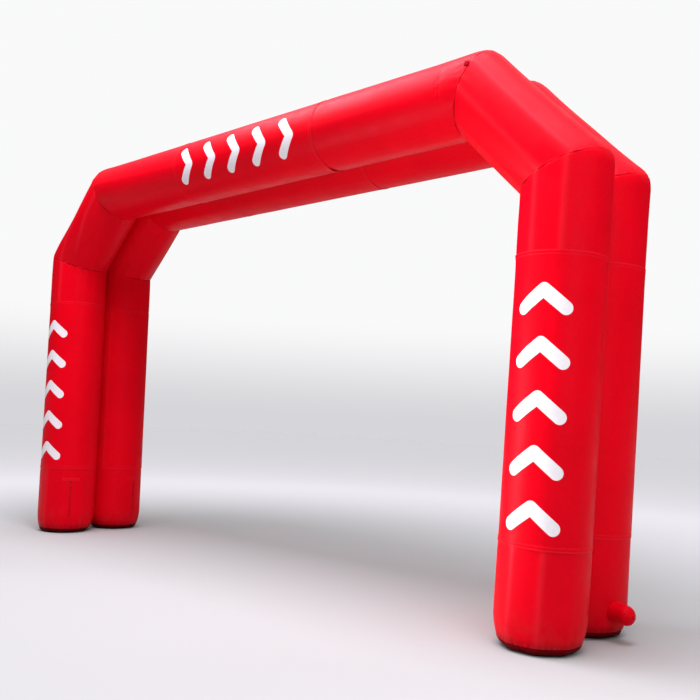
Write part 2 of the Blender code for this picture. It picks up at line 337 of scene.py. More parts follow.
def zip_puckers(angle, z0, z1, seed_):
    """Small crosswise wrinkles where a zip is sewn up a leg's inner side."""
    def shape(run, r, a, s, psi, d0, d1):
        off = ((a - math.radians(angle) + math.pi) % TAU - math.pi) * TUBE_R
        span = smooth((s - z0 + 0.02) / 0.04) * smooth((z1 + 0.02 - s) / 0.04)
        side = np.exp(-(np.abs(off) / 0.034) ** 2)
        wave = ripple(seed_, a * 0.0 + off * 6.0, s, (0, 1), 0.045, 10)
        return r + span * (0.0013 * side * wave - 0.0012 * np.exp(-(off / 0.012) ** 2))
    return shape


LOCAL["leg_left_front"] = zip_puckers(247.5, 0.205, 0.674, 901)
LOCAL["leg_left_back"] = zip_puckers(258.75, 0.262, 0.660, 902)


def base_puckers(run, r, a, s, psi, d0, d1):
    """Short upright puckers above the base seam, strongest on the inner front."""
    on = 0.22 + 0.78 * around(psi, -85.0, 16.0, 0.4)
    wave = ripple(911, a, d0, (40, 74), 0.9, 12)
    return r + on * 0.0052 * wave * np.exp(-d0 / 0.022) * smooth(d0 / 0.003)


LOCAL["leg_right_front"] = base_puckers


def beam_end_wrinkles(run, r, a, s, psi, d0, d1):
    """Fine creases beside the right mitre."""
    right = around(psi, 10.0, 55.0, 0.2) * np.exp(-((d1 - 0.07) / 0.05) ** 2)
    r = r + 0.0022 * right * np.cos(TAU * (d1 - 0.10 * (psi - 0.5)) / 0.021)
    return r


LOCAL["beam_front"] = beam_end_wrinkles


def left_fold(run, r, a, s, psi, d0, d1):
    """A slack fold that runs beside the left shoulder's upper seam."""
    on = around(psi, 8.0, 60.0, 0.25)
    return r + on * (0.0055 * np.exp(-((d1 - 0.062) / 0.018) ** 2)
                     - 0.0035 * np.exp(-((d1 - 0.026) / 0.012) ** 2))


LOCAL["shoulder_left_front"] = left_fold


# ---------------------------------------------------------------- mesh work
def new_mesh(name, co, faces, cloth=None, bake=None, seam=None, smooth_faces=True, ridge=None):
    mesh = bpy.data.meshes.new(name)
    mesh.from_pydata(co.tolist() if hasattr(co, "tolist") else co, [],
                     faces.tolist() if hasattr(faces, "tolist") else faces)
    if cloth is not None:
        layer = mesh.uv_layers.new(name="cloth")
        layer.data.foreach_set("uv", np.asarray(cloth, dtype=np.float32).ravel())
    if bake is not None:
        layer = mesh.uv_layers.new(name="OFBake")
        layer.data.foreach_set("uv", np.asarray(bake, dtype=np.float32).ravel())
    if seam is not None:
        attr = mesh.attributes.new("seam", "FLOAT", "POINT")
        attr.data.foreach_set("value", np.asarray(seam, dtype=np.float32).ravel())
    if ridge is not None:
        attr = mesh.attributes.new("ridge", "FLOAT", "POINT")
        attr.data.foreach_set("value", np.asarray(ridge, dtype=np.float32).ravel())
    if smooth_faces:
        mesh.shade_smooth()
    mesh.update()
    obj = bpy.data.objects.new(name, mesh)
    bpy.context.scene.collection.objects.link(obj)
    return obj


def outward(obj):
    """Turns the faces out if the closed mesh's volume comes out negative."""
    mesh = obj.data
    mesh.calc_loop_triangles()
    tri = np.empty(len(mesh.loop_triangles) * 3, dtype=np.int32)
    mesh.loop_triangles.foreach_get("vertices", tri)
    co = np.empty(len(mesh.vertices) * 3)
    mesh.vertices.foreach_get("co", co)
    co = co.reshape(-1, 3)
    p = co[tri.reshape(-1, 3)]
    volume = np.einsum("ij,ij->i", p[:, 0], np.cross(p[:, 1], p[:, 2])).sum()
    if volume < 0.0:
        mesh.flip_normals()
    return obj


def closed_tube(name, points, arc, along, seam, v_range=(0.07, 1.0), ridge=None):
    """Closed skin from a grid of rings, with a fan over each end."""
    m, n = points.shape[:2]
    co = points.reshape(-1, 3)
    ends = np.array([points[0].mean(0), points[-1].mean(0)])
    co = np.concatenate([co, ends], 0)
    i, j = np.meshgrid(np.arange(m - 1), np.arange(n), indexing="ij")
    k = (j + 1) % n
    quads = np.stack([i * n + j, i * n + k, (i + 1) * n + k, (i + 1) * n + j], -1).reshape(-1, 4)
    faces = quads.tolist()
    arc_next = np.concatenate([arc[:, 1:], arc[:, -1:] + (arc[:, 1:2] - arc[:, :1])], 1)

    def corners(f00, f01, f11, f10):
        return np.stack([f00, f01, f11, f10], 2).reshape(-1, 4, 2)

    along_next = np.concatenate([along[:, 1:], along[:, :1]], 1)
    a0, a1, s0, s1 = arc, arc_next, along, along_next
    cloth = corners(np.stack([a0[:-1], s0[:-1]], -1), np.stack([a1[:-1], s1[:-1]], -1),
                    np.stack([a1[1:], s1[1:]], -1), np.stack([a0[1:], s0[1:]], -1))
    step = np.linalg.norm(np.diff(points, axis=0), axis=-1).mean(1)
    t = np.concatenate([[0.0], np.cumsum(step)])
    t = v_range[0] + (v_range[1] - v_range[0]) * t / t[-1]
    x0 = np.broadcast_to((np.arange(n) / n)[None, :], (m, n))
    x1 = x0 + 1.0 / n
    y = np.broadcast_to(t[:, None], (m, n))
    bake = corners(np.stack([x0[:-1], y[:-1]], -1), np.stack([x1[:-1], y[:-1]], -1),
                   np.stack([x1[1:], y[1:]], -1), np.stack([x0[1:], y[1:]], -1))
    cloth, bake = [cloth.reshape(-1, 2)], [bake.reshape(-1, 2)]
    for e, ring in enumerate((0, m - 1)):
        hub = m * n + e
        mid = ends[e]
        jj = np.arange(n)
        kk = (jj + 1) % n
        tris = np.stack([np.full(n, hub), ring * n + jj, ring * n + kk], -1)
        if e == 0:
            tris = tris[:, ::-1]
        faces += tris.tolist()
        ang = TAU * np.arange(n) / n
        rim = np.stack([np.cos(ang), np.sin(ang)], -1)
        rim_next = np.roll(rim, -1, 0)
        zero = np.zeros((n, 2))
        order = [zero, rim, rim_next] if e == 1 else [rim_next, rim, zero]
        flat = np.stack(order, 1)
        cloth.append((flat * 0.35).reshape(-1, 2))
        bake.append((flat * 0.028 + np.array((0.05 + 0.08 * e, 0.035))).reshape(-1, 2))
    seam = np.concatenate([seam.ravel(), [0.2, 0.2]])
    if ridge is not None:
        ridge = np.concatenate([ridge.ravel(), [0.0, 0.0]])
    obj = new_mesh(name, co, faces, np.concatenate(cloth), np.concatenate(bake), seam, ridge=ridge)
    outward(obj)
    obj.data.set_sharp_from_angle(angle=math.radians(70.0))
    return obj


def thin_sheet(name, outer, inner, arc, along, seam):
    """A sheet with a real thickness: outer and inner grids joined round the rim."""
    m, n = outer.shape[:2]
    co = np.concatenate([outer.reshape(-1, 3), inner.reshape(-1, 3)], 0)
    i, j = np.meshgrid(np.arange(m - 1), np.arange(n - 1), indexing="ij")
    q = np.stack([i * n + j, i * n + j + 1, (i + 1) * n + j + 1, (i + 1) * n + j], -1)
    q = q.reshape(-1, 4)
    back = q[:, ::-1] + m * n
    loop = ([(0, c) for c in range(n)] + [(r, n - 1) for r in range(1, m)]
            + [(m - 1, c) for c in range(n - 2, -1, -1)] + [(r, 0) for r in range(m - 2, 0, -1)])
    rim = []
    for (r0, c0), (r1, c1) in zip(loop, loop[1:] + loop[:1]):
        p, s = r0 * n + c0, r1 * n + c1
        rim.append((s, p, p + m * n, s + m * n))
    faces = np.concatenate([q, back, np.array(rim)], 0)
    vert_cloth = np.stack([arc, along], -1).reshape(-1, 2)
    vert_cloth = np.concatenate([vert_cloth, vert_cloth], 0)
    cloth = vert_cloth[faces.ravel()]
    span = np.ptp(arc), np.ptp(along)
    x = (arc - arc.min()) / span[0]
    y = (along - along.min()) / span[1]
    front = np.stack([0.01 + 0.98 * x, 0.42 + 0.57 * y], -1).reshape(-1, 2)
    rear = np.stack([0.01 + 0.98 * x, 0.02 + 0.36 * y], -1).reshape(-1, 2)
    both = np.concatenate([front, rear], 0)
    bake = both[faces.ravel()]
    # the rim gets a strip of its own below the two sides
    count = len(rim)
    first = (len(q) + len(back)) * 4
    t = np.arange(count) / count
    strip = np.stack([np.stack([t + 1.0 / count, np.full(count, 0.014)], -1),
                      np.stack([t, np.full(count, 0.014)], -1),
                      np.stack([t, np.full(count, 0.006)], -1),
                      np.stack([t + 1.0 / count, np.full(count, 0.006)], -1)], 1)
    bake[first:] = strip.reshape(-1, 2)
    seam = np.concatenate([seam.ravel(), seam.ravel()])
    obj = new_mesh(name, co, faces, cloth, bake, seam)
    outward(obj)
    obj.data.set_sharp_from_angle(angle=math.radians(50.0))
    return obj


# ---------------------------------------------------------------- tube lengths
NEAR = [0.0, 0.0025, 0.006, 0.010, 0.015, 0.021, 0.028, 0.037, 0.048, 0.062, 0.080, 0.102,
        0.130, 0.165, 0.205, 0.255]
COLUMNS = 216
pieces = {}

for name, run in runs.items():
    angles = np.arange(COLUMNS) / COLUMNS * TAU
    kind = name.split("_")[0]
    middle = {"leg": 84, "shoulder": 34, "beam": 190}[kind]
    s, d0, d1 = run.grid(angles, NEAR, NEAR, middle)
    for at, low, high in run.rings:     # closer rows where a seam runs round
        pull = -0.8 * (s - at) * np.exp(-((s - at) / 0.05) ** 2) * smooth(d1 / 0.05)
        s, d0, d1 = s + pull, d0 + pull, d1 - pull
    a = np.broadcast_to(angles[None, :], s.shape)
    points = run.skin(a, s, d0, d1)
    arc = a * TUBE_R
    # distance to the nearest seam, which places the stitches and the painted shade in the seam groove; held at 0
    # within 4 mm of a ring seam
    seam = np.minimum(d0, d1)
    for at, low, high in run.rings:
        psi = run.psi(a)
        on = around(psi, low, high, 0.12)
        seam = np.minimum(seam, np.maximum(np.abs(s - at) - 0.004, 0.0) + (1.0 - on) * 0.3)
    tube = closed_tube(name + "_skin", points, arc, s, seam, ridge=run.ridge(a, s))
    pieces[name] = tube
    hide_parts(name)
    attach(tube, "root")

# ---------------------------------------------------------------- base caps
BASE_PROFILE = [
    # height, share of the seam's radius on the lifted side and on the full side
    (0.0000, 0.600, 0.800), (0.0010, 0.650, 0.836), (0.0034, 0.712, 0.874), (0.0070, 0.768, 0.905),
    (0.0120, 0.820, 0.931), (0.0180, 0.865, 0.951), (0.0250, 0.904, 0.968), (0.0325, 0.936, 0.981),
    (0.0400, 0.962, 0.990), (0.0470, 0.983, 0.998), (0.0525, 0.995, 1.000), (0.0560, 1.000, 1.000),
    (0.0577, 0.990, 0.990),
]
for side in ("left", "right"):
    for row_name in ("front", "back"):
        run = runs[f"leg_{side}_{row_name}"]
        angles = np.arange(COLUMNS) / COLUMNS * TAU
        z = np.array([p[0] for p in BASE_PROFILE])[:, None]
        lifted = np.array([p[1] for p in BASE_PROFILE])[:, None]
        full = np.array([p[2] for p in BASE_PROFILE])[:, None]
        a = np.broadcast_to(angles[None, :], (len(BASE_PROFILE), COLUMNS))
        psi = run.psi(a)
        reach0 = (TUBE_PITCH - JOIN_GAP) / 2.0
        share = (lifted + (full - lifted) * foot_lean(psi)) * (1.0 - foot_draw(psi))
        near = np.clip(np.cos(a), 0.0, 1.0)
        r = TUBE_R * (1.0 + (reach0 / TUBE_R - 1.0) * near ** 3)
        r = r + TUBE_R * 0.62 * ridge_dip(psi, math.radians(run.phase[0][1])) * (1.0 - 0.8 * near)
        depth = 1.0 - z / BASE_H
        fold = ripple(run.seed + 61, a, z, (34, 58), 0.5, 14)
        wide = ripple(run.seed + 62, a, z, (8, 18), 0.5, 8)
        rise = smooth(z / 0.02)
        r = r * share + rise * (0.0032 * fold * (0.35 + 0.65 * depth) + 0.0028 * wide * depth)
        u, v = r * np.sin(a), np.minimum(r * np.cos(a), reach0 - 0.0002)
        s = z / run.axis[2] - u * run.out[2] / run.axis[2]
        points = (run.a[None, None, :] + run.out[None, None, :] * u[..., None]
                  + run.axis[None, None, :] * s[..., None])
        points[..., 1] = run.row * (TUBE_PITCH / 2.0) - run.row * v
        points[..., 2] = z
        arc = a * TUBE_R
        along = np.broadcast_to(z, a.shape)
        seam = np.broadcast_to(BASE_H - z, a.shape)
        cap = closed_tube(f"base_{side}_{row_name}_cap", points, arc, along, seam, (0.30, 1.0))
        pieces[f"base_{side}_{row_name}"] = cap
        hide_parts(f"base_{side}_{row_name}")
        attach(cap, "root")

# ---------------------------------------------------------------- banners
HEM = 0.034             # depth of the hem at each end
EDGE = [0.0, 0.0015, 0.004, 0.0065, 0.009, 0.013, 0.019, 0.025, 0.0285, 0.031, 0.0335,
        0.037, 0.043, 0.052, 0.066, 0.085]
banner_spans = {}
for name, base, mid, centre, motif in BANNERS:
    run = runs[base]
    lo, hi = run.banner
    inner_s = np.linspace(lo + EDGE[-1], hi - EDGE[-1], 64)[1:-1]
    s_line = np.concatenate([lo + np.array(EDGE), inner_s, hi - np.array(EDGE)[::-1]])
    side_edge = np.array([0.0, 0.002, 0.005, 0.010, 0.016, 0.020, 0.023, 0.028, 0.036]) / TUBE_R
    inner_a = np.linspace(-BANNER_HALF + side_edge[-1], BANNER_HALF - side_edge[-1], 132)[1:-1]
    psi_line = np.concatenate([-BANNER_HALF + side_edge, inner_a, BANNER_HALF - side_edge[::-1]])
    psi, s = np.meshgrid(psi_line, s_line)
    a = (math.pi - psi) % TAU
    d0 = np.full(s.shape, 9.0) if run.mitre_a else s - BASE_H
    d1 = np.full(s.shape, 9.0)
    u0 = TUBE_R * np.sin(a)
    s0, s1 = run.ends(u0, u0)
    d0, d1 = s - s0, s1 - s
    from_end = np.minimum(s - lo, hi - s)
    from_side = (BANNER_HALF - np.abs(psi)) * TUBE_R
    edge = np.minimum(from_end, from_side)
    # doubled hem, with the fabric drawn down along its two rows of stitches
    hem = smooth((HEM - from_end) / 0.003) * 0.0011 + smooth((0.022 - from_side) / 0.003) * 0.0009
    rows = (np.exp(-((from_end - 0.0050) / 0.0016) ** 2) + np.exp(-((from_end - 0.0300) / 0.0016) ** 2)
            + 0.6 * np.exp(-((from_side - 0.019) / 0.0018) ** 2))
    tight = ripple(run.seed + 71, a, s * 0.0, (60, 130), 1.0, 14)
    pucker = 0.0007 * tight * np.exp(-from_end / 0.045)
    # tension: faint creases that start at the ends, and an edge that lifts unevenly
    strain = ripple(run.seed + 72, a, s, (5, 13), 0.55, 10)
    crease = 0.0008 * strain * np.exp(-from_end / 0.22)
    lift = np.clip(ripple(run.seed + 73, a, (s > mid) * 2.0, (3, 9), 1.0, 7) - 0.15, 0.0, 1.2)
    flutter = 0.0028 * lift * np.exp(-from_end / 0.020)
    drum = 0.0006 * ripple(run.seed + 74, a, s, (1, 4), 0.9, 8)
    rise = 0.0014 + hem - 0.0006 * rows + pucker + crease + flutter + np.abs(drum)
    if name == "banner_beam_front":
        # the free corner that stands off the tube at the right hand hem, low on the front
        spot = np.hypot((hi - s) / 0.055, (psi - math.radians(-90.0)) * TUBE_R / 0.055)
        rise = rise + 0.011 * np.exp(-spot ** 2)
    inner = run.skin(a, s, d0, d1, 0.0).copy()
    rise = np.maximum(rise, 0.0012)
    outer = run.skin(a, s, d0, d1, 0.0)
    centre_line = (run.a[None, None, :] + run.axis[None, None, :] * s[..., None])
    centre_line[..., 1] = run.row * TUBE_PITCH / 2.0
    away = outer - centre_line
    away /= np.linalg.norm(away, axis=-1, keepdims=True)
    outer = outer + away * (rise + BANNER_T)[..., None]
    inner = inner + away * rise[..., None]
    arc, along = psi * TUBE_R, s - mid
    sheet = thin_sheet(name + "_sheet", outer, inner, arc, along, edge)
    pieces[name] = sheet
    banner_spans[name] = (float(np.ptp(arc)), BANNER_LEN)
    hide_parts(name)
    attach(sheet, "root")


# ---------------------------------------------------------------- things on a leg's skin
def patch_on(run, a, s, rise, thickness):
    """Outer and inner points of a patch that lies on the skin, standing off by rise."""
    u0 = TUBE_R * np.sin(a)
    s0, s1 = run.ends(u0, u0)
    base = run.skin(a, s, s - s0, s1 - s)
    centre = run.a[None, None, :] + run.axis[None, None, :] * s[..., None]
    centre[..., 1] = run.row * TUBE_PITCH / 2.0
    away = base - centre
    away /= np.linalg.norm(away, axis=-1, keepdims=True)
    return base + away * (rise + thickness)[..., None], base + away * rise[..., None]


def bead_strip(name, spots, along, across, off, half):
    """A row of small rounded links, one at each spot, as one mesh."""
    lat = np.linspace(-math.pi / 2.0, math.pi / 2.0, 5)[1:-1]
    lon = np.arange(8) / 8.0 * TAU
    ball = [(0.0, 0.0, -1.0)]
    for p in lat:
        ball += [(math.cos(p) * math.cos(q), math.cos(p) * math.sin(q), math.sin(p)) for q in lon]
    ball.append((0.0, 0.0, 1.0))
    ball = np.array(ball)
    tri = []
    for q in range(8):
        tri.append((0, 1 + (q + 1) % 8, 1 + q))
        tri.append((25, 17 + q, 17 + (q + 1) % 8))
    quad = []
    for r in range(2):
        for q in range(8):
            b0, b1 = 1 + r * 8 + q, 1 + r * 8 + (q + 1) % 8
            quad.append((b0, b1, b1 + 8, b0 + 8))
    co, faces = [], []
    for i, (p, t, c, n) in enumerate(zip(spots, along, across, off)):
        co.append(p + ball[:, :1] * c * half[0] + ball[:, 1:2] * t * half[1] + ball[:, 2:] * n * half[2])
        faces += [tuple(v + 26 * i for v in f) for f in tri + quad]
    obj = new_mesh(name, np.concatenate(co, 0), faces)
    outward(obj)
    return obj


ZIPS = [
    # row, angle round the leg, foot and head of the zip along it
    ("front", 247.5, 0.205, 0.674),
    ("back", 258.75, 0.262, 0.660),
]
for row_name, angle, z0, z1 in ZIPS:
    run = runs[f"leg_left_{row_name}"]
    middle = math.radians(angle)
    off_line = np.array([-17.0, -16.2, -14.0, -11.0, -8.0, -5.0, -2.6, 0.0, 2.6, 5.0, 8.0, 11.0,
                         14.0, 16.2, 17.0]) / 1000.0
    s_line = np.linspace(z0 + 0.0005, z1 - 0.0005, 118)
    off, s = np.meshgrid(off_line, s_line)
    a = middle + off / TUBE_R
    wave = ripple(921, a * 0.0, s, (0, 0), 0.07, 8)
    rise = 0.0006 + 0.0009 * np.clip(wave, 0.0, 1.0) * (np.abs(off) / 0.017) ** 2
    rise = rise - 0.0002 * np.exp(-((np.abs(off) - 0.0140) / 0.001) ** 2)
    outer, inner = patch_on(run, a, s, rise, np.full(s.shape, 0.0009))
    edge = np.minimum(0.017 - np.abs(off), np.minimum(s - z0, z1 - s))
    tape = thin_sheet(f"zip_{row_name}_tape", outer, inner, off, s, edge)
    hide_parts(f"zip_{row_name}")
    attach(tape, "root")
    # the closed coil down the middle, two rows of links that mesh
    teeth = np.arange(z0 + 0.006, z1 - 0.004, 0.0042)
    s2 = teeth[:, None]
    lean = np.where(np.arange(len(teeth)) % 2 == 0, 0.0011, -0.0011)[:, None]
    top, low = patch_on(run, middle + lean / TUBE_R, s2, np.full(s2.shape, 0.0017),
                        np.full(s2.shape, 0.001))
    n_off = (top - low)[:, 0]
    n_off /= np.linalg.norm(n_off, axis=1, keepdims=True)
    t_along = np.repeat(run.axis[None, :], len(teeth), 0)
    across = np.cross(t_along, n_off)
    coil = bead_strip(f"zip_{row_name}_coil", low[:, 0], t_along, across, n_off,
                      (0.0031, 0.0017, 0.0012))
    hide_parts(f"zip_{row_name}")
    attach(coil, "root")
    pieces[f"zip_{row_name}"], pieces[f"zip_{row_name}_coil"] = tape, coil
    # the flap over its head, sewn along the top, its lower edge a little free
    half = 16.8 * math.pi / 180.0
    s_line = z1 + 0.001 + np.array([0.0, 0.0008, 0.003, 0.006, 0.009, 0.013, 0.017, 0.021, 0.0245,
                                    0.0265, 0.0285, 0.0295, 0.030])
    a_line = middle + np.linspace(-half, half, 72)
    a, s = np.meshgrid(a_line, s_line)
    from_low, from_top = s - s_line[0], s_line[-1] - s
    from_side = (half - np.abs(a - middle)) * TUBE_R
    free = np.exp(-from_low / 0.009)
    rise = 0.0010 + free * (0.0022 + 0.0016 * ripple(931, a, s * 0.0, (18, 44), 1.0, 8))
    rise = np.maximum(rise, 0.0007) - 0.0004 * np.exp(-((from_top - 0.0045) / 0.0014) ** 2)
    thick = 0.0010 + 0.0007 * smooth((0.007 - from_low) / 0.002)
    outer, inner = patch_on(run, a, s, rise, thick)
    edge = np.minimum(from_side, np.minimum(from_low, from_top))
    flap = thin_sheet(f"flap_{row_name}_sheet", outer, inner, (a - middle) * TUBE_R, s, edge)
    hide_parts(f"flap_{row_name}")
    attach(flap, "root")
    pieces[f"flap_{row_name}"] = flap

# ---------------------------------------------------------------- inflation sleeve
run = runs["leg_right_back"]
root = run.a + run.axis * (SLEEVE_Z / run.axis[2])
root[1] = TUBE_PITCH / 2.0
turn = math.radians(SLEEVE_ANGLE)
ahead = np.array((math.cos(turn), math.sin(turn), 0.0))
beside = np.array((-math.sin(turn), math.cos(turn), 0.0))
upward = np.array((0.0, 0.0, 1.0))
SLEEVE_PROFILE = [
    # along the sleeve, radius
    (0.300, 0.0860), (0.372, 0.0822), (0.395, 0.0790), (0.420, 0.0765), (0.445, 0.0768),
    (0.463, 0.0765), (0.479, 0.0735), (0.493, 0.0680), (0.505, 0.0590), (0.514, 0.0480),
    (0.520, 0.0370), (0.524, 0.0270), (0.5265, 0.0185), (0.5275, 0.0130),
]
columns = 120
theta = np.arange(columns) / columns * TAU
r_root = 0.0858


def on_sleeve(d, r):
    return (root[None, None, :] + ahead * d[..., None] + beside * (r * np.cos(theta))[..., None]
            + upward * (r * np.sin(theta))[..., None])


d_root = np.full((1, columns), 0.34)
for _ in range(8):
    p = on_sleeve(d_root, np.full((1, columns), r_root))
    rel = p - run.a
    s = (rel * run.axis).sum(-1)
    u = (rel * run.out).sum(-1)
    v = TUBE_PITCH / 2.0 - p[..., 1]
    a = np.arctan2(u, v) % TAU
    u0 = TUBE_R * np.sin(a)
    s0, s1 = run.ends(u0, u0)
    skin_r = run.radius(a, s, s - s0, s1 - s)
    d_root = d_root + (skin_r - 0.0010 - np.hypot(u, v)) / np.maximum(
        np.cos(np.arcsin(np.clip(r_root * np.cos(theta) / TUBE_R, -0.9, 0.9))), 0.5)
table = np.array(SLEEVE_PROFILE)
t_near = np.array([0.0, 0.03, 0.07, 0.12, 0.18, 0.26, 0.36, 0.48, 0.62, 0.80, 1.0])[:, None]
d_near = d_root + (0.383 - d_root) * t_near
d_far = np.array([0.408, 0.418, 0.428, 0.438, 0.448, 0.458, 0.467, 0.475, 0.482, 0.489, 0.496,
                  0.503, 0.510, 0.516, 0.522, 0.527, 0.531, 0.5345, 0.537, 0.5392, 0.541, 0.5424,
                  0.5435, 0.5441, 0.5445])[:, None] - 0.017
d = np.concatenate([d_near, np.repeat(d_far, columns, 1)], 0)
r = np.interp(d, table[:, 0], table[:, 1])
th = np.broadcast_to(theta[None, :], d.shape)
since = d - d_root
pleat = ripple(941, th, d, (9, 17), 0.6, 8)
fine = ripple(942, th, d, (24, 40), 0.4, 10)
toward = smooth((d - 0.470) / 0.050)
shrink = np.clip(r / 0.06, 0.0, 1.0)
r = r + toward * shrink * (0.0015 * pleat + 0.0006 * fine)
r = r + 0.0014 * fine * np.exp(-since / 0.016) * smooth(since / 0.004)
r = r + 0.0012 * np.exp(-((since - 0.008) / 0.0045) ** 2) - 0.0010 * np.exp(-((since - 0.019) / 0.006) ** 2)
r = r + 0.0012 * ripple(943, th, d, (2, 5), 0.25, 6)
d = d + toward * 0.0016 * pleat * smooth((0.5275 - d) / 0.02)
d = np.minimum(d, 0.531)
points = on_sleeve(d, r)
points[..., 2] -= 0.010 * smooth((d - 0.38) / 0.20)          # it droops a little
tip = np.arange(len(d_near) + len(d_far))
hub_d, hub_r = 0.5215, 0.0060                                 # the gather's dimple
ring = on_sleeve(np.full((1, columns), hub_d), np.full((1, columns), hub_r) + 0.0012 * pleat[-1:])
ring[..., 2] -= 0.0085
points = np.concatenate([points, ring], 0)
arc = np.broadcast_to(theta * 0.083, points.shape[:2])
along = np.broadcast_to(np.concatenate([[0.0], np.cumsum(
    np.linalg.norm(np.diff(points, axis=0), axis=-1).mean(1))])[:, None], points.shape[:2])
# the root and the gather at the tip count as seams, so they get stitches and painted shade
seam = np.concatenate([since, np.full((1, columns), 0.2)], 0)
seam = np.minimum(seam, np.concatenate([np.maximum(0.5305 - d, 0.0) * 2.0 + 0.002, np.full((1, columns), 0.002)], 0))
sleeve = closed_tube("inflation_sleeve_skin", points, arc, along, seam)
pieces["inflation_sleeve"] = sleeve
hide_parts("inflation_sleeve")
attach(sleeve, "root")

# ---------------------------------------------------------------- tie-off tab
TAB_W, TAB_L, TAB_T = 0.044, 0.052, 0.0052
run = runs["beam_front"]
a_tab = math.radians(153.0)
u0 = np.array([[TUBE_R * math.sin(a_tab)]])
s0, s1 = run.ends(u0, u0)
s_tab = s1 - 0.020
step = 0.004
here = run.skin(np.array([[a_tab]]), s_tab, s_tab - s0, s1 - s_tab)[0, 0]
later = run.skin(np.array([[a_tab - step]]), s_tab, s_tab - s0, s1 - s_tab)[0, 0]
right = run.skin(np.array([[a_tab]]), s_tab + 0.004, s_tab + 0.004 - s0, s1 - s_tab - 0.004)[0, 0]
round_ = unit(later - here)
along_t = unit(right - here)
off = unit(np.cross(along_t, round_))
middle = np.array((here[0], -TUBE_PITCH / 2.0, BEAM_Z))
if off.dot(here - middle) < 0.0:
    off = -off


def oval(length, height, count=14):
    """A flattened loop in the plane of (round_, off), from its straight runs and round folds."""
    pts = []
    r_ = height / 2.0
    flat = length / 2.0 - r_
    for q in range(count + 1):
        w = math.pi / 2.0 - math.pi * q / count
        pts.append((flat + r_ * math.cos(w), r_ * math.sin(w)))
    for q in range(count + 1):
        w = -math.pi / 2.0 - math.pi * q / count
        pts.append((-flat + r_ * math.cos(w), r_ * math.sin(w)))
    return np.array(pts)


outer_p, inner_p = oval(TAB_L, TAB_T), oval(TAB_L - 0.0034, TAB_T - 0.0034)
# more points along the straight runs, so that the webbing can bow
def fill_in(p, n_=6):
    rows = []
    for i in range(len(p)):
        q = p[(i + 1) % len(p)]
        gap = np.linalg.norm(q - p[i])
        k = n_ if gap > 0.01 else 1
        rows += [p[i] + (q - p[i]) * (m / k) for m in range(k)]
    return np.array(rows)


outer_p, inner_p = fill_in(outer_p), fill_in(inner_p)
w_line = np.array([-0.5, -0.49, -0.46, -0.38, -0.25, -0.1, 0.1, 0.25, 0.38, 0.46, 0.49, 0.5]) * TAB_W
co, cloth_uv = [], []
for ring_p, inset in ((outer_p, 0.0), (inner_p, 0.0)):
    for w in w_line:
        soft = 1.0 - 0.10 * smooth((abs(w) / TAB_W - 0.45) / 0.05)
        for x, y in ring_p:
            bow = 0.0016 * (1.0 - (x / (TAB_L / 2.0)) ** 2) + 0.0007 * math.sin(90.0 * w + 60.0 * x)
            co.append(here + along_t * w + round_ * x + off * (y * soft + TAB_T / 2.0 + 0.0022 + bow))
            cloth_uv.append((w, x))
co, cloth_uv = np.array(co), np.array(cloth_uv)
m_, n_ = len(w_line), len(outer_p)
faces = []
for layer in range(2):
    for i in range(m_ - 1):
        for j in range(n_):
            k = (j + 1) % n_
            base_i = layer * m_ * n_
            q = (base_i + i * n_ + j, base_i + i * n_ + k, base_i + (i + 1) * n_ + k,
                 base_i + (i + 1) * n_ + j)
            faces.append(q if layer == 0 else q[::-1])
for i in (0, m_ - 1):
    for j in range(n_):
        k = (j + 1) % n_
        q = (i * n_ + j, i * n_ + k, m_ * n_ + i * n_ + k, m_ * n_ + i * n_ + j)
        faces.append(q[::-1] if i == 0 else q)
loops = np.array(faces).ravel()
tab = new_mesh("tie_off_tab_loop", co, faces, cloth_uv[loops], None,
               np.full(len(co), 0.1))
outward(tab)
tab.data.set_sharp_from_angle(angle=math.radians(55.0))
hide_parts("tie_off_tab")
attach(tab, "root")
pieces["tie_off_tab"] = tab


